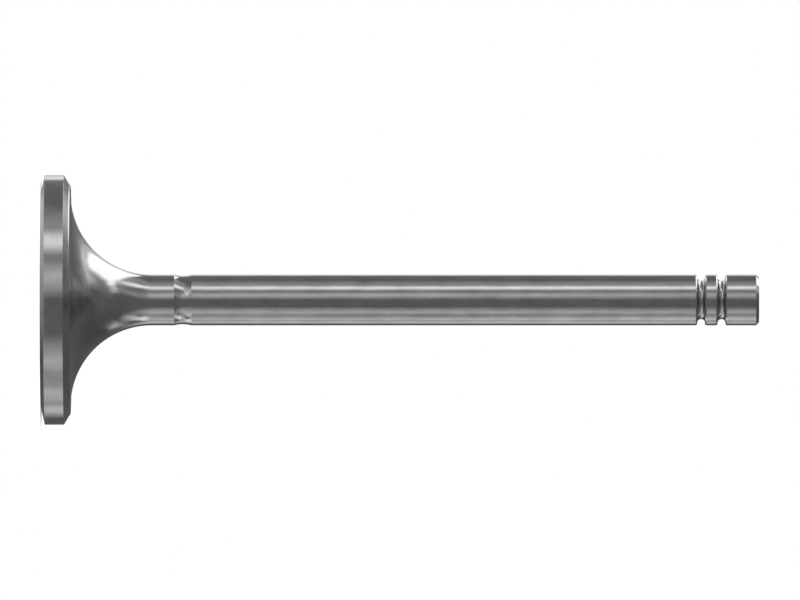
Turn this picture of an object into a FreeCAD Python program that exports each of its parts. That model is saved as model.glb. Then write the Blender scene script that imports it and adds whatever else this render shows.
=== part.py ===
"""Poppet valve of a piston engine: one forging, turned and ground all over.

Sizes are in millimetres. The origin is the centre of the combustion face, and +Z runs up the stem to the tip.
"""
import FreeCAD
import Part
import math
import os

# The whole valve
overall_length = 126.6
head_diameter = 44.0
stem_diameter = 8.96

# The head, from the combustion face up
face_chamfer_height = 0.6
face_chamfer_width = 3.0
margin_height = 3.45
seat_angle_deg = 30.0
seat_width = 2.0
edge_break = 0.1

# The neck, one arc that runs from the back of the head into the stem
neck_radius = 14.3

# The shallow relief, measured to its lower edge, where the grinding of the stem starts
relief_height = 23.5
relief_length = 3.0
relief_depth = 0.2

# The keeper grooves, counted down from the tip
groove_count = 2
groove_from_tip = 6.6
groove_pitch = 3.6
groove_bottom_radius = 0.7
groove_depth = 1.1
groove_lip = 0.2

tip_chamfer = 0.5

# Places that follow from the sizes above
head_radius = head_diameter / 2
stem_radius = stem_diameter / 2
face_radius = head_radius - face_chamfer_width
margin_top = face_chamfer_height + margin_height
seat_inner_radius = head_radius - seat_width
back_height = margin_top + seat_width * math.tan(math.radians(seat_angle_deg))
neck_top = back_height + neck_radius
neck_foot_radius = stem_radius + neck_radius


def at(radius, height):
    """A point of the half section, which lies in the XZ plane."""
    return FreeCAD.Vector(radius, 0, height)


def revolved(edges):
    """The solid that a closed half section sweeps about the valve's axis."""
    section = Part.Face(Part.Wire(edges))
    return section.revolve(FreeCAD.Vector(0, 0, 0), FreeCAD.Vector(0, 0, 1), 360)


def outline(points):
    """Straight edges from each point of a half section to the next."""
    return [Part.LineSegment(a, b).toShape() for a, b in zip(points, points[1:])]


def blank():
    """Head, neck and stem in one sweep, before the relief, the grooves and the chamfers of the edges."""
    head = outline([
        at(0, 0),
        at(face_radius, 0),
        at(head_radius, face_chamfer_height),
        at(head_radius, margin_top),
        at(seat_inner_radius, back_height),
        at(neck_foot_radius, back_height),
    ])
    middle = math.radians(45)
    neck = Part.Arc(
        at(neck_foot_radius, back_height),
        at(
            neck_foot_radius - neck_radius * math.sin(middle),
            neck_top - neck_radius * math.cos(middle),
        ),
        at(stem_radius, neck_top),
    ).toShape()
    stem = outline([
        at(stem_radius, neck_top),
        at(stem_radius, overall_length),
        at(0, overall_length),
        at(0, 0),
    ])
    return revolved(head + [neck] + stem)


def relief_cutter():
    """A ring of round section, large and nearly clear of the stem, that leaves the shallow relief."""
    half = relief_length / 2
    section_radius = (half ** 2 + relief_depth ** 2) / (2 * relief_depth)
    ring_radius = stem_radius - relief_depth + section_radius
    ring = Part.makeTorus(ring_radius, section_radius)
    ring.translate(FreeCAD.Vector(0, 0, relief_height + half))
    return ring


def groove_heights():
    """Mid-height of each keeper groove, the one nearest the tip first."""
    return [overall_length - groove_from_tip - i * groove_pitch for i in range(groove_count)]


def groove_cutter(height):
    """A ring with a half-round bottom and straight flanks, for one keeper groove."""
    root = stem_radius - groove_depth
    flank = root + groove_bottom_radius
    outside = stem_radius + groove_bottom_radius
    low = height - groove_bottom_radius
    high = height + groove_bottom_radius
    bottom = Part.Arc(at(flank, high), at(root, height), at(flank, low)).toShape()
    return revolved([bottom] + outline([at(flank, low), at(outside, low), at(outside, high), at(flank, high)]))


def rings_at(solid, radius, height):
    """The circular edges of that radius about the axis, at that height."""
    found = []
    for edge in solid.Edges:
        curve = edge.Curve
        if not isinstance(curve, Part.Circle):
            continue
        if abs(curve.Radius - radius) < 1e-4 and abs(curve.Center.z - height) < 1e-4:
            found.append(edge)
    return found


def broken_edges(solid):
    """Takes the sharpness off the four corners of the head with a narrow flat."""
    corners = [
        (face_radius, 0),
        (head_radius, face_chamfer_height),
        (head_radius, margin_top),
        (seat_inner_radius, back_height),
    ]
    rings = [ring for radius, height in corners for ring in rings_at(solid, radius, height)]
    return solid.makeChamfer(edge_break, rings)


def grooved(solid):
    """Cuts the keeper grooves and breaks the edges of their lips."""
    for height in groove_heights():
        solid = solid.cut(groove_cutter(height))
        lips = []
        for side in (-groove_bottom_radius, groove_bottom_radius):
            lips += rings_at(solid, stem_radius, height + side)
        solid = solid.makeChamfer(groove_lip, lips)
    return solid


def valve():
    solid = broken_edges(blank())
    solid = solid.cut(relief_cutter())
    solid = grooved(solid)
    return solid.makeChamfer(tip_chamfer, rings_at(solid, stem_radius, overall_length))


os.makedirs("parts", exist_ok=True)
# The last chamfer leaves the one solid inside a compound
piece = valve().Solids[0]
piece.exportStep("parts/valve.step")
print("valve: valid %s, volume %.1f mm3, centre of mass %.2f mm up" % (
    piece.isValid(), piece.Volume, piece.CenterOfMass.z))
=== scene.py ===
"""Looks of the engine valve: one ground steel piece, standing on its head in a dim tent with soft lights."""
import math

import bmesh
import bpy
from mathutils import Matrix, Vector


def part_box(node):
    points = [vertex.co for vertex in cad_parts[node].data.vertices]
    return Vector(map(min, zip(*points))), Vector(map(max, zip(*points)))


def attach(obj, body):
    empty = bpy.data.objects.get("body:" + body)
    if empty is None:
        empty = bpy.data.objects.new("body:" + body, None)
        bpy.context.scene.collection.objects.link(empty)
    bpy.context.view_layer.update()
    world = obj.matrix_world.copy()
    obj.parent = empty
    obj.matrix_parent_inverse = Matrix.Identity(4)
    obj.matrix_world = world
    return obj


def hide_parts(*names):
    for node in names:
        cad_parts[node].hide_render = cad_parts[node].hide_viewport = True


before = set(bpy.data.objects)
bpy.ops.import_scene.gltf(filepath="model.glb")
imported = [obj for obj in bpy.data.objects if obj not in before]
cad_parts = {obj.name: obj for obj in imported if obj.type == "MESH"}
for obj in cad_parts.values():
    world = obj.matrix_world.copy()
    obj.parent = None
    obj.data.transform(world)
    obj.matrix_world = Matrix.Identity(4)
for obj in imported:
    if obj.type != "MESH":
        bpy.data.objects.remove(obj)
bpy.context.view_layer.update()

MM = 0.001

# The valve's section, in millimetres, with the sizes of the CAD part
low_corner, high_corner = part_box("valve")
head_radius = (high_corner[0] - low_corner[0]) / 2 / MM
overall_length = (high_corner[2] - low_corner[2]) / MM
stem_radius = 4.48
face_chamfer_height = 0.6
face_chamfer_width = 3.0
margin_height = 3.45
seat_angle = math.radians(30)
seat_width = 2.0
neck_radius = 14.3
relief_height = 23.5
relief_length = 3.0
relief_depth = 0.2
groove_count = 2
groove_from_tip = 6.6
groove_pitch = 3.6
groove_bottom_radius = 0.7
groove_depth = 1.1
tip_chamfer = 0.5

# The fine forms that the CAD part has plainer or not at all: the lips of the grooves, the step between the
# ground seat and the turned foot behind it, and the roundings of the edges
lip_length = 0.25
lip_depth = 0.16
lip_radius = 0.08
seat_land = 1.55
step_rise = 0.15
step_run = 0.105
step_edge_radius = 0.2
seat_foot_radius = 0.6
edge_radius = 0.1
seat_edge_radius = 0.04
tip_edge_radius = 0.06
relief_edge_radius = 0.04

# A groove's bottom is rounded with a hair less than its radius, so that its two quarter arcs don't touch
groove_arc_radius = 0.999 * groove_bottom_radius

# How finely the section is swept
turns = 360
arc_step = math.radians(2.5)
small_arc_step = math.radians(7)
widest_small_arc = 0.9
fewest_arc_steps = 3
relief_steps = 14
nearly_nothing = 1e-6

# The photograph's view: its width in pixels, and the rest in millimetres
photo_width = 800
millimetres_per_pixel = 0.17638
camera_distance = 4800.0
camera_sees_to = 100000.0
sensor_width = 36.0
middle_height = 63.3


def corner_arc(before, corner, after, radius):
    """Points and outward normals of the arc that rounds one corner of the section."""
    a = (before - corner).normalized()
    b = (after - corner).normalized()
    half = a.angle(b) / 2
    reach = radius / math.tan(half)
    centre = corner + (a + b).normalized() * (radius / math.sin(half))
    start = corner + a * reach
    end = corner + b * reach
    swing = math.pi - 2 * half
    step = small_arc_step if radius < widest_small_arc else arc_step
    steps = max(fewest_arc_steps, math.ceil(swing / step))
    outward = 1 if (corner - before).cross(after - corner) > 0 else -1
    found = []
    for i in range(steps + 1):
        # The spoke swings evenly from the start of the arc to its end
        start_share = math.sin(swing * (1 - i / steps))
        end_share = math.sin(swing * i / steps)
        spoke = ((start - centre) * start_share + (end - centre) * end_share) / math.sin(swing)
        spoke.normalize()
        found.append((centre + spoke * radius, spoke * outward))
    return found


def relief_arc():
    """Points and normals of the shallow arc between the ends of the relief."""
    half = relief_length / 2
    radius = (half ** 2 + relief_depth ** 2) / (2 * relief_depth)
    swing = math.asin(half / radius)
    middle = Vector((stem_radius - relief_depth + radius, relief_height + half))
    plain = Vector((1, 0))
    found = [(Vector((stem_radius, relief_height - relief_edge_radius)), plain)]
    for i in range(relief_steps + 1):
        angle = -swing + 2 * swing * i / relief_steps
        spoke = Vector((-math.cos(angle), math.sin(angle)))
        found.append((middle + spoke * radius, -spoke))
    found.append((Vector((stem_radius, relief_height + relief_length + relief_edge_radius)), plain))
    return found


def corners_of_section():
    """The section's corners from the middle of the face to the middle of the tip, with their roundings."""
    margin_top = face_chamfer_height + margin_height
    back = margin_top + seat_width * math.tan(seat_angle)
    land_radius = head_radius - seat_land
    land_top = margin_top + seat_land * math.tan(seat_angle)
    foot_radius = land_radius - step_run - (back - land_top - step_rise) / math.tan(seat_angle)
    corners = [
        (0, 0, 0),
        (head_radius - face_chamfer_width, 0, edge_radius),
        (head_radius, face_chamfer_height, edge_radius),
        (head_radius, margin_top, seat_edge_radius),
        (land_radius, land_top, step_edge_radius),
        (land_radius - step_run, land_top + step_rise, step_edge_radius),
        (foot_radius, back, seat_foot_radius),
        (stem_radius, back, neck_radius),
        (stem_radius, relief_height, relief_edge_radius),
        (stem_radius, relief_height + relief_length, relief_edge_radius),
    ]
    root = stem_radius - groove_depth
    for i in reversed(range(groove_count)):
        height = overall_length - groove_from_tip - i * groove_pitch
        low = height - groove_bottom_radius
        high = height + groove_bottom_radius
        corners += [
            (stem_radius, low - lip_length, lip_radius),
            (stem_radius - lip_depth, low, lip_radius),
            (root, low, groove_arc_radius),
            (root, high, groove_arc_radius),
            (stem_radius - lip_depth, high, lip_radius),
            (stem_radius, high + lip_length, lip_radius),
        ]
    corners += [
        (stem_radius, overall_length - tip_chamfer, tip_edge_radius),
        (stem_radius - tip_chamfer, overall_length, tip_edge_radius),
        (0, overall_length, 0),
    ]
    return [(Vector((r, z)), rounding) for r, z, rounding in corners]


def section():
    """Points and normals of the half section."""
    corners = corners_of_section()
    found = [(corners[0][0], Vector((0, -1)))]
    for (before, _), (corner, rounding), (after, _) in zip(corners, corners[1:], corners[2:]):
        if abs(corner.y - relief_height) < nearly_nothing:
            found += relief_arc()
        elif abs(corner.y - relief_height - relief_length) < nearly_nothing:
            continue
        else:
            found += corner_arc(before, corner, after, rounding)
    found.append((corners[-1][0], Vector((0, 1))))
    return found


def valve_mesh():
    """The section swept about the valve's axis, with the exact normal at every point."""
    points = []
    normals = []
    hoops = []
    for (r, z), (nr, nz) in section():
        count = 1 if r < nearly_nothing else turns
        hoops.append(range(len(points), len(points) + count))
        for i in range(count):
            angle = 2 * math.pi * i / turns
            across = Vector((math.cos(angle), math.sin(angle)))
            points.append((across.x * r * MM, across.y * r * MM, z * MM))
            normals.append(Vector((across.x * nr, across.y * nr, nz)).normalized())
    faces = []
    for low, high in zip(hoops, hoops[1:]):
        for i in range(turns):
            j = (i + 1) % turns
            if len(low) == 1:
                faces.append((low[0], high[j], high[i]))
            elif len(high) == 1:
                faces.append((low[i], low[j], high[0]))
            else:
                faces.append((low[i], low[j], high[j], high[i]))
    mesh = bpy.data.meshes.new("valve_surface")
    mesh.from_pydata(points, [], faces)
    mesh.shade_smooth()
    mesh.normals_split_custom_set_from_vertices(normals)
    return mesh


# Grains to the metre, across x, y and along z
AXIAL = (2400, 2400, 180)
CLOUDS = (450, 450, 260)
AROUND = (150, 150, 9000)
turned_rings_per_metre = 9000
cloud_detail = 5
grain_detail = 4
ring_detail = 3
grain_roughness = 0.6

# The steel's grey, and the share of a finish's roughness by which its fine grain varies it
steel_grey = 0.36
blur_by_grain = 0.6

# The neck grows duller towards its foot, and its grey is made darker there as painted shade where the neck
# meets the head. Each change is whole below the first height and gone above the second, in millimetres, and
# adds to the roughness and to the grey
BLUR_AND_PAINTED_SHADE = {
    "neck_steel": [
        (6.5, 8.9, 0.16, -0.02),
        (10.5, 15.0, 0.045, 0.0),
    ],
}


def noise(tree, grains, detail):
    """Smooth noise from 0 to 1 over the valve, with that many grains to the metre along each axis."""
    place = tree.nodes.new("ShaderNodeTexCoord")
    scaled = tree.nodes.new("ShaderNodeVectorMath")
    scaled.operation = "MULTIPLY"
    scaled.inputs[1].default_value = grains
    tree.links.new(place.outputs["Object"], scaled.inputs[0])
    grain = tree.nodes.new("ShaderNodeTexNoise")
    grain.inputs["Scale"].default_value = 1.0
    grain.inputs["Detail"].default_value = detail
    grain.inputs["Roughness"].default_value = grain_roughness
    tree.links.new(scaled.outputs[0], grain.inputs["Vector"])
    return grain.outputs["Fac"]


def turned_rings(tree, per_metre):
    """Noise that depends on the distance from the axis alone, as turning leaves it on a flat end."""
    place = tree.nodes.new("ShaderNodeTexCoord")
    flat = tree.nodes.new("ShaderNodeVectorMath")
    flat.operation = "MULTIPLY"
    flat.inputs[1].default_value = (per_metre, per_metre, 0)
    tree.links.new(place.outputs["Object"], flat.inputs[0])
    distance = tree.nodes.new("ShaderNodeVectorMath")
    distance.operation = "LENGTH"
    tree.links.new(flat.outputs[0], distance.inputs[0])
    grain = tree.nodes.new("ShaderNodeTexNoise")
    grain.noise_dimensions = "1D"
    grain.inputs["Scale"].default_value = 1.0
    grain.inputs["Detail"].default_value = ring_detail
    tree.links.new(distance.outputs["Value"], grain.inputs["W"])
    return grain.outputs["Fac"]


def weighted(tree, start, parts):
    """start + the sum of weight * (part - 0.5)."""
    total = None
    for part, weight in parts:
        term = tree.nodes.new("ShaderNodeMath")
        term.operation = "MULTIPLY_ADD"
        term.inputs[1].default_value = weight
        term.inputs[2].default_value = -weight / 2
        tree.links.new(part, term.inputs[0])
        add = tree.nodes.new("ShaderNodeMath")
        add.operation = "ADD"
        tree.links.new(term.outputs[0], add.inputs[0])
        if total is None:
            add.inputs[1].default_value = start
        else:
            tree.links.new(total, add.inputs[1])
        total = add.outputs[0]
    return total


def share_below(tree, low, high):
    """1 below the first height and 0 above the second, in millimetres, with a smooth change between."""
    place = tree.nodes.new("ShaderNodeTexCoord")
    parts = tree.nodes.new("ShaderNodeSeparateXYZ")
    tree.links.new(place.outputs["Object"], parts.inputs[0])
    share = tree.nodes.new("ShaderNodeMapRange")
    share.interpolation_type = "SMOOTHSTEP"
    share.inputs["From Min"].default_value = high * MM
    share.inputs["From Max"].default_value = low * MM
    tree.links.new(parts.outputs["Z"], share.inputs["Value"])
    return share.outputs["Result"]


def steel(name, roughness, marks):
    """Valve steel. Its marks are the fine grain's kind, shade and height in metres, and the clouds' shade."""
    kind, grain_shade, grain_height, cloud_shade = marks
    material = bpy.data.materials.new(name)
    material.use_nodes = True
    tree = material.node_tree
    shader = tree.nodes["Principled BSDF"]
    shader.inputs["Metallic"].default_value = 1.0
    clouds = noise(tree, CLOUDS, cloud_detail)
    if kind == "rings":
        grain = turned_rings(tree, turned_rings_per_metre)
    else:
        grain = noise(tree, kind, grain_detail)
    tones = [(clouds, steel_grey * cloud_shade), (grain, steel_grey * grain_shade)]
    blurs = [(clouds, roughness), (grain, roughness * blur_by_grain)]
    middle_tone = steel_grey
    # A part counts from its middle in weighted(), so half of each change goes to the start
    for low, high, more_blur, painted_shade_tone in BLUR_AND_PAINTED_SHADE.get(name, []):
        below = share_below(tree, low, high)
        blurs.append((below, more_blur))
        # The darker grey towards the neck's foot is painted shade
        tones.append((below, painted_shade_tone))
        roughness += more_blur / 2
        middle_tone += painted_shade_tone / 2
    grey = tree.nodes.new("ShaderNodeCombineColor")
    tone = weighted(tree, middle_tone, tones)
    for channel in range(3):
        tree.links.new(tone, grey.inputs[channel])
    tree.links.new(grey.outputs[0], shader.inputs["Base Color"])
    tree.links.new(weighted(tree, roughness, blurs), shader.inputs["Roughness"])
    bump = tree.nodes.new("ShaderNodeBump")
    bump.inputs["Strength"].default_value = 1.0
    bump.inputs["Distance"].default_value = grain_height
    tree.links.new(grain, bump.inputs["Height"])
    tree.links.new(bump.outputs["Normal"], shader.inputs["Normal"])
    return material


# Where each finish ends, as a height in millimetres, from the head to the tip, with its roughness and marks
FINISHES = [
    ("face", 0.55, 0.16, ("rings", 0.2, 0.0000015, 0.4)),
    ("margin", 4.05, 0.09, (AROUND, 0.1, 0.0000004, 0.5)),
    ("seat", 4.9, 0.24, (AROUND, 0.1, 0.0000003, 0.3)),
    ("seat_foot", 5.2, 0.13, (AROUND, 0.1, 0.0000004, 0.3)),
    ("neck", 19.6, 0.105, (CLOUDS, 0.15, 0.00002, 0.35)),
    ("shank", 23.45, 0.095, (AXIAL, 0.3, 0.000004, 0.5)),
    ("relief", 26.55, 0.07, (AXIAL, 0.2, 0.000001, 0.3)),
    ("stem", 115.4, 0.08, (AXIAL, 0.4, 0.000006, 0.6)),
    ("keeper", 117.6, 0.2, (AROUND, 0.2, 0.0000005, 0.3)),
    ("land", 118.8, 0.08, (AXIAL, 0.3, 0.000004, 0.5)),
    ("keeper", 121.2, 0.2, (AROUND, 0.2, 0.0000005, 0.3)),
    ("end", 126.55, 0.08, (AXIAL, 0.3, 0.000005, 0.5)),
    ("tip", 127.0, 0.12, ("rings", 0.2, 0.000001, 0.3)),
]


def finish_faces(mesh):
    """Gives each face the material of the stretch of the valve that it lies in."""
    names = []
    for name, _, roughness, marks in FINISHES:
        if name not in names:
            names.append(name)
            mesh.materials.append(steel(name + "_steel", roughness, marks))
    for face in mesh.polygons:
        height = face.center.z / MM
        for name, top, _, _ in FINISHES:
            if height < top:
                break
        face.material_index = names.index(name)


def make_valve():
    piece = bpy.data.objects.new("valve_steel", valve_mesh())
    bpy.context.scene.collection.objects.link(piece)
    finish_faces(piece.data)
    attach(piece, "root")
    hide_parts("valve")


def make_camera():
    """Level with the middle of the valve, far away, and rolled so that the stem points to the right."""
    data = bpy.data.cameras.new("camera")
    data.sensor_width = sensor_width
    data.lens = sensor_width * camera_distance / (photo_width * millimetres_per_pixel)
    data.clip_end = camera_sees_to * MM
    camera = bpy.data.objects.new("camera", data)
    bpy.context.scene.collection.objects.link(camera)
    right = Vector((0, 0, 1))
    up = Vector((-1, 0, 0))
    back = Vector((0, -1, 0))
    turn = Matrix((right, up, back)).transposed().to_4x4()
    camera.matrix_world = Matrix.Translation((0, -camera_distance * MM, middle_height * MM)) @ turn
    bpy.context.scene.camera = camera


# The studio: a dim tent with soft lights just inside it. Azimuth 0 is the camera's side, and azimuth grows
# towards the top of the photograph. Lengths are in metres, angles in degrees, and a level of 1 is white
tent_radius = 4.0
tent_centre = Vector((0, 0, 0.23))
light_spacing = 0.04
steps_between_stations = 3
steps_around_tent = 4
steps_up_tent = 8

# The wall of the tent: azimuth, then the level up to the horizon, half way up and overhead
TENT = [
    (-180, 0.12, 0.19, 0.21),
    (-150, 0.15, 0.14, 0.18),
    (-120, 0.22, 0.11, 0.17),
    (-90, 0.24, 0.17, 0.19),
    (-50, 0.24, 0.19, 0.21),
    (0, 0.24, 0.20, 0.22),
    (60, 0.24, 0.22, 0.22),
    (100, 0.25, 0.22, 0.22),
    (125, 0.29, 0.21, 0.22),
    (142, 0.33, 0.20, 0.22),
    (152, 0.24, 0.20, 0.22),
    (168, 0.18, 0.20, 0.21),
    (180, 0.12, 0.19, 0.21),
]
# The elevations between which those levels change, with the place of each level in its row
tent_marks = [(-89.9, 0), (5, 0), (40, 1), (80, 2), (89.9, 2)]

# Lights that stand upright. Each station is an elevation, then the azimuths where the light starts, is full,
# is still full and ends, and its level
UPRIGHT = {
    "side_window": [
        (-26, 145, 151, 157, 178, 1.04),
        (4, 145, 151, 157, 178, 1.04),
        (12, 146, 151, 164, 168, 0.8),
        (22, 148, 154, 160, 166, 0.6),
        (32, 148, 153, 157, 163, 0.4),
        (42, 148, 151, 154, 160, 0.0),
    ],
    "strip": [
        (-36, 24, 34, 44, 56, 0.35),
        (-26, 22, 32, 42, 56, 0.5),
        (-18, 20, 28, 34, 46, 1.2),
        (-12, 20, 28, 34, 50, 0.75),
        (-7, 40, 50, 54, 64, 0.8),
        (-4, 42, 54, 58, 69, 1.3),
        (6, 49, 60, 63, 73, 1.8),
        (14, 52, 64, 71, 82, 1.7),
        (26, 60, 70, 77, 88, 1.3),
        (34, 62, 72, 79, 90, 0.5),
        (42, 60, 68, 76, 88, 0.34),
        (50, 60, 68, 76, 88, 0.0),
    ],
    "spill": [
        (-12, 54, 62, 76, 100, 0.1),
        (-5, 56, 62, 76, 104, 0.25),
        (0, 56, 64, 76, 100, 0.17),
        (8, 66, 80, 110, 122, 0.15),
        (18, 68, 80, 96, 108, 0.28),
        (30, 72, 82, 90, 100, 0.15),
        (36, 72, 82, 88, 96, 0.0),
    ],
    "front_glow": [
        (-26, 0, 15, 60, 96, 0.05),
        (-14, 0, 15, 60, 96, 0.12),
        (-4, 0, 15, 60, 98, 0.22),
        (8, 10, 60, 110, 126, 0.2),
        (16, 20, 60, 110, 126, 0.2),
        (30, 20, 58, 88, 106, 0.22),
        (44, 20, 52, 72, 92, 0.16),
        (52, 20, 40, 60, 80, 0.0),
    ],
    "front_band": [
        (-40, 1, 18, 24, 37, 0.3),
        (-24, 1, 18, 24, 37, 0.52),
        (-4, 1, 20, 24, 37, 0.52),
        (6, -2, 16, 24, 36, 0.27),
        (14, 4, 18, 28, 38, 0.28),
        (22, 12, 24, 32, 42, 0.3),
        (30, 18, 30, 38, 48, 0.22),
        (38, 24, 38, 48, 58, 0.18),
        (46, 24, 36, 50, 62, 0.14),
        (56, 24, 36, 50, 62, 0.0),
    ],
    "under": [
        (-66, 112, 128, 156, 168, 0.0),
        (-52, 112, 128, 156, 168, 2.6),
        (-30, 112, 128, 156, 168, 2.6),
        (-20, 112, 128, 156, 168, 0.0),
    ],
    "under_front": [
        (-70, 10, 50, 100, 128, 0.0),
        (-56, 10, 50, 100, 128, 0.3),
        (-36, 10, 50, 100, 128, 0.3),
        (-28, 10, 50, 100, 128, 0.0),
    ],
    "low_front": [
        (-42, 34, 46, 53, 74, 0.0),
        (-36, 34, 46, 53, 74, 0.5),
        (-14, 36, 46, 53, 74, 0.55),
        (-5, 40, 50, 60, 76, 0.0),
    ],
    "low_near": [
        (-36, -30, -72, -84, -98, 0.9),
        (-28, -30, -72, -88, -104, 0.95),
        (-20, -30, -72, -78, -98, 0.95),
        (-12, -30, -64, -68, -96, 0.8),
        (-2, -31, -55, -58, -83, 0.65),
        (10, -36, -52, -62, -78, 0.32),
        (18, -44, -56, -66, -80, 0.24),
        (26, -48, -60, -68, -80, 0.1),
        (34, -52, -60, -68, -80, 0.0),
    ],
    "low_streak": [
        (-40, -96, -104, -122, -132, 1.6),
        (-28, -90, -106, -122, -134, 1.7),
        (-20, -94, -108, -122, -136, 1.6),
        (-12, -98, -110, -122, -136, 1.2),
        (-6, -73, -94, -104, -124, 0.7),
        (-2, -73, -94, -103, -124, 0.8),
        (3, -73, -88, -102, -112, 1.6),
        (8, -76, -88, -96, -105, 1.3),
        (18, -66, -79, -87, -103, 0.8),
        (26, -62, -72, -84, -106, 0.45),
        (34, -56, -68, -74, -88, 0.06),
    ],
    "low_spot": [
        (12, -100, -112, -118, -130, 0.0),
        (25, -98, -112, -120, -128, 0.6),
        (30, -92, -106, -116, -124, 0.8),
        (35, -84, -96, -108, -118, 0.35),
        (40, -80, -92, -106, -122, 0.14),
        (48, -80, -92, -110, -124, 0.0),
    ],
    "low_far": [
        (-14, -112, -121, -126, -142, 0.4),
        (-2, -112, -121, -126, -142, 0.95),
        (8, -112, -122, -132, -146, 0.35),
        (16, -112, -122, -134, -146, 0.1),
        (24, -112, -122, -132, -146, 0.0),
    ],
}

# Lights that lie along the tent. Each station is an azimuth, then the elevations where the light starts,
# is full, is still full and ends, and its level
LYING = {
    "key": [
        (157, 18, 21, 23, 27, 0.0),
        (153, 15, 19, 27, 33, 2.0),
        (149, 12, 15, 37, 43, 2.4),
        (144, 6, 10, 43, 50, 2.5),
        (136, 0, 3, 48, 54, 2.5),
        (128, 2, 6, 49, 56, 2.5),
        (120, 6, 12.5, 49, 56, 2.5),
        (110, 12, 18.5, 49, 57, 2.5),
        (100, 18.5, 25.5, 48.5, 56.5, 2.5),
        (90, 25, 33.5, 48, 56, 2.4),
        (84, 30, 38, 46, 54, 1.6),
        (76, 34, 39, 47, 55, 0.9),
        (66, 40, 44, 48, 56, 0.0),
    ],
    "wing": [
        (92, 36, 42, 48, 55, 0.0),
        (80, 38, 43, 50, 56, 0.9),
        (70, 40, 46, 51, 57, 1.8),
        (60, 41, 45, 50, 56, 1.0),
        (50, 40, 45, 51, 58, 0.85),
        (40, 40, 46, 51, 58, 0.6),
        (26, 40, 46, 52, 58, 0.0),
    ],
    "rim": [
        (164, 14, 20, 26, 32, 0.2),
        (157, 32, 36, 40, 45, 1.9),
        (152, 38, 42, 47, 53, 1.1),
        (146, 44, 50, 56, 63, 0.85),
        (138, 51, 58, 62, 70, 0.65),
        (128, 57, 62, 66, 74, 0.46),
        (113, 60, 64, 68, 74, 0.3),
        (90, 64, 69, 73, 79, 0.2),
        (60, 66, 71, 74, 80, 0.0),
    ],
    "top_glow": [
        (165, 34, 44, 56, 70, 0.0),
        (152, 38, 48, 66, 80, 0.28),
        (130, 50, 56, 66, 80, 0.45),
        (110, 50, 56, 62, 78, 0.42),
        (80, 50, 56, 60, 76, 0.2),
        (45, 48, 54, 60, 76, 0.2),
        (20, 48, 54, 60, 70, 0.1),
        (0, 48, 54, 60, 66, 0.0),
    ],
}


def direction(azimuth, elevation):
    """The unit vector from the middle of the tent towards a place on its wall."""
    a = math.radians(azimuth)
    e = math.radians(elevation)
    return Vector((-math.sin(a) * math.cos(e), -math.cos(a) * math.cos(e), math.sin(e)))


def glow(name, solid):
    """Light of the level painted on the mesh, added to what is behind it unless it is solid."""
    material = bpy.data.materials.new(name)
    material.use_nodes = True
    tree = material.node_tree
    tree.nodes.clear()
    out = tree.nodes.new("ShaderNodeOutputMaterial")
    level = tree.nodes.new("ShaderNodeAttribute")
    level.attribute_name = "level"
    emission = tree.nodes.new("ShaderNodeEmission")
    tree.links.new(level.outputs["Fac"], emission.inputs["Strength"])
    if solid:
        tree.links.new(emission.outputs[0], out.inputs["Surface"])
        return material
    both = tree.nodes.new("ShaderNodeAddShader")
    clear = tree.nodes.new("ShaderNodeBsdfTransparent")
    tree.links.new(emission.outputs[0], both.inputs[0])
    tree.links.new(clear.outputs[0], both.inputs[1])
    tree.links.new(both.outputs[0], out.inputs["Surface"])
    return material


def curtain(name, rows, radius, solid=False):
    """A curved light surface from rows of azimuth, elevation and level. It stays out of the picture."""
    width = len(rows[0])
    spots = [spot for row in rows for spot in row]
    points = [tent_centre + direction(azimuth, elevation) * radius for azimuth, elevation, _ in spots]
    faces = [
        (i * width + j, (i + 1) * width + j, (i + 1) * width + j + 1, i * width + j + 1)
        for i in range(len(rows) - 1)
        for j in range(width - 1)
    ]
    mesh = bpy.data.meshes.new(name)
    mesh.from_pydata(points, [], faces)
    levels = mesh.attributes.new("level", "FLOAT", "POINT")
    for mark, (_, _, level) in zip(levels.data, spots):
        mark.value = level
    mesh.materials.append(glow(name, solid))
    thing = bpy.data.objects.new(name, mesh)
    bpy.context.scene.collection.objects.link(thing)
    thing.visible_camera = False


def filled_in(stations, steps):
    """The stations with evenly spaced ones put between them."""
    found = []
    for first, second in zip(stations, stations[1:]):
        for i in range(steps):
            found.append([a + (b - a) * i / steps for a, b in zip(first, second)])
    found.append(stations[-1])
    return found


def light_rows(stations, upright):
    """A light's rows of azimuth, elevation and level, dark at both edges."""
    rows = []
    for along, start, full, still_full, end, level in filled_in(stations, steps_between_stations):
        middle = (full + still_full) / 2
        across = [(start, 0), (full, level), (middle, level), (still_full, level), (end, 0)]
        if upright:
            rows.append([(place, along, level_there) for place, level_there in across])
        else:
            rows.append([(along, place, level_there) for place, level_there in across])
    return rows


def tent_rows():
    """The wall's rows of azimuth, elevation and level."""
    rows = []
    for azimuth, *levels in filled_in(TENT, steps_around_tent):
        marks = [(elevation, levels[part]) for elevation, part in tent_marks]
        rows.append([(azimuth, elevation, level) for elevation, level in filled_in(marks, steps_up_tent)])
    return rows


def make_studio():
    """A white world for the camera, with the tent and its lights inside it for the steel."""
    world = bpy.data.worlds.new("studio")
    bpy.context.scene.world = world
    world.use_nodes = True
    world.node_tree.nodes["Background"].inputs["Color"].default_value = (1, 1, 1, 1)
    world.node_tree.nodes["Background"].inputs["Strength"].default_value = 1.0
    curtain("tent", tent_rows(), tent_radius, solid=True)
    lights = [(name, light_rows(stations, True)) for name, stations in UPRIGHT.items()]
    lights += [(name, light_rows(stations, False)) for name, stations in LYING.items()]
    for i, (name, rows) in enumerate(lights):
        curtain(name, rows, tent_radius - light_spacing * (i + 1))


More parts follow.
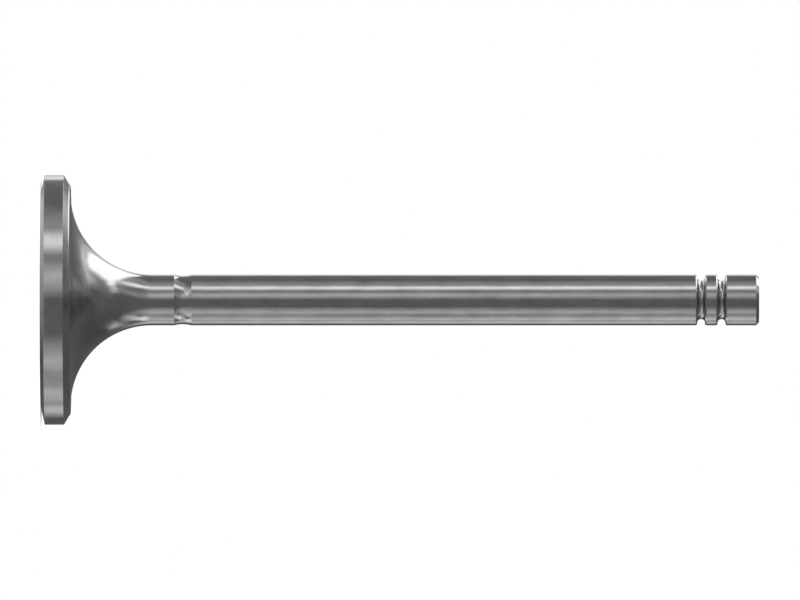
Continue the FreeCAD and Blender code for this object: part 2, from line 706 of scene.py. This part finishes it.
# The floor, in metres: a disc that is whole up to the first radius and clear from the second on. Where the
# valve is nearer to it than the reach below, ambient occlusion darkens its glow as a painted contact shadow
floor_whole_to = 0.03
floor_clear_from = 0.055
floor_radius = 0.06
floor_segments = 96
floor_grey = (0.8, 0.8, 0.8, 1)
floor_roughness = 0.8
painted_shadow_reach = 0.01

# The floor's glow as the camera sees it, in its painted contact shadow near the valve and where it is open
seen_in_painted_shadow = 0.3
seen_open = 0.85

# The same two levels as the steel mirrors them, from one side of the head to the other: millimetres from the
# valve's axis, then the level. The places lie within floor_reach. This is a painted glow, brighter on one
# side of the head than the other, which the steel shows as a painted reflection
floor_reach = 24.0
MIRRORED_IN_PAINTED_SHADOW = [
    (-22, 0.06),
    (-20.5, 0.14),
    (-19, 0.3),
    (-17.5, 0.46),
    (-14, 0.5),
    (10, 0.065),
]
MIRRORED_PAINTED_GLOW = [
    (-22, 0.15),
    (-20.5, 0.2),
    (-19, 0.35),
    (-17.5, 0.55),
    (-14, 0.55),
    (-7, 0.24),
    (18, 0.34),
    (18.1, 0.26),
]


def joined(tree, operation, first, second):
    """Two outputs put together by a Math node."""
    node = tree.nodes.new("ShaderNodeMath")
    node.operation = operation
    tree.links.new(first, node.inputs[0])
    tree.links.new(second, node.inputs[1])
    return node.outputs[0]


def ramp(tree, along, stops):
    """Grey levels of the painted glow along the floor."""
    shades = tree.nodes.new("ShaderNodeValToRGB")
    tree.links.new(along.outputs["Result"], shades.inputs["Fac"])
    elements = shades.color_ramp.elements
    for place, level in stops:
        stop = elements.new((place + floor_reach) / (2 * floor_reach))
        stop.color = (level, level, level, 1)
    # A new ramp has a stop of its own at each end
    elements.remove(elements[-1])
    elements.remove(elements[0])
    return shades.outputs["Color"]


def seen_level(tree, cover):
    """The floor's level for the camera: white where it is open, and darkened near the valve by ambient
    occlusion as a painted contact shadow.
    """
    level = tree.nodes.new("ShaderNodeMapRange")
    tree.links.new(cover.outputs["AO"], level.inputs["Value"])
    level.inputs["To Min"].default_value = seen_in_painted_shadow
    level.inputs["To Max"].default_value = seen_open
    return level.outputs["Result"]


def mirrored_painted_glow(tree, cover, place):
    """The floor's painted glow for the steel, changing from one side of the head to the other and darkened by
    the painted contact shadow.
    """
    parts = tree.nodes.new("ShaderNodeSeparateXYZ")
    tree.links.new(place.outputs["Object"], parts.inputs[0])
    along = tree.nodes.new("ShaderNodeMapRange")
    along.inputs["From Min"].default_value = -floor_reach * MM
    along.inputs["From Max"].default_value = floor_reach * MM
    tree.links.new(parts.outputs["X"], along.inputs["Value"])
    level = tree.nodes.new("ShaderNodeMapRange")
    tree.links.new(cover.outputs["AO"], level.inputs["Value"])
    tree.links.new(ramp(tree, along, MIRRORED_IN_PAINTED_SHADOW), level.inputs["To Min"])
    tree.links.new(ramp(tree, along, MIRRORED_PAINTED_GLOW), level.inputs["To Max"])
    return level.outputs["Result"]


def floor_alpha(tree, place):
    """Whole around the valve, and clear towards the floor's rim."""
    distance = tree.nodes.new("ShaderNodeVectorMath")
    distance.operation = "LENGTH"
    tree.links.new(place.outputs["Object"], distance.inputs[0])
    fade = tree.nodes.new("ShaderNodeMapRange")
    fade.interpolation_type = "SMOOTHSTEP"
    fade.inputs["From Min"].default_value = floor_clear_from
    fade.inputs["From Max"].default_value = floor_whole_to
    tree.links.new(distance.outputs["Value"], fade.inputs["Value"])
    return fade.outputs["Result"]


def floor_material():
    """White in the picture and grey in the steel, with a painted glow that changes across the floor for the
    steel to mirror, and a painted contact shadow from ambient occlusion where the valve is near.
    """
    material = bpy.data.materials.new("floor")
    material.use_nodes = True
    tree = material.node_tree
    shader = tree.nodes["Principled BSDF"]
    shader.inputs["Base Color"].default_value = floor_grey
    shader.inputs["Roughness"].default_value = floor_roughness
    shader.inputs["Specular IOR Level"].default_value = 0.0
    shader.inputs["Emission Color"].default_value = (1, 1, 1, 1)
    ray = tree.nodes.new("ShaderNodeLightPath")
    place = tree.nodes.new("ShaderNodeTexCoord")
    cover = tree.nodes.new("ShaderNodeAmbientOcclusion")
    cover.inputs["Distance"].default_value = painted_shadow_reach
    mirroring = joined(tree, "MAXIMUM", ray.outputs["Is Glossy Ray"], ray.outputs["Is Transmission Ray"])
    # Both levels are darkened near the valve by ambient occlusion: a painted contact shadow
    seen = joined(tree, "MULTIPLY", ray.outputs["Is Camera Ray"], seen_level(tree, cover))
    # The steel mirrors a painted glow that is brighter on one side of the head
    mirrored = joined(tree, "MULTIPLY", mirroring, mirrored_painted_glow(tree, cover, place))
    tree.links.new(joined(tree, "ADD", seen, mirrored), shader.inputs["Emission Strength"])
    tree.links.new(floor_alpha(tree, place), shader.inputs["Alpha"])
    return material


def make_floor():
    bm = bmesh.new()
    bmesh.ops.create_circle(bm, cap_ends=True, radius=floor_radius, segments=floor_segments)
    mesh = bpy.data.meshes.new("floor")
    bm.to_mesh(mesh)
    bm.free()
    floor = bpy.data.objects.new("floor", mesh)
    bpy.context.scene.collection.objects.link(floor)
    mesh.materials.append(floor_material())


bpy.context.scene.view_settings.view_transform = "Standard"
make_camera()
make_studio()
make_floor()
make_valve()
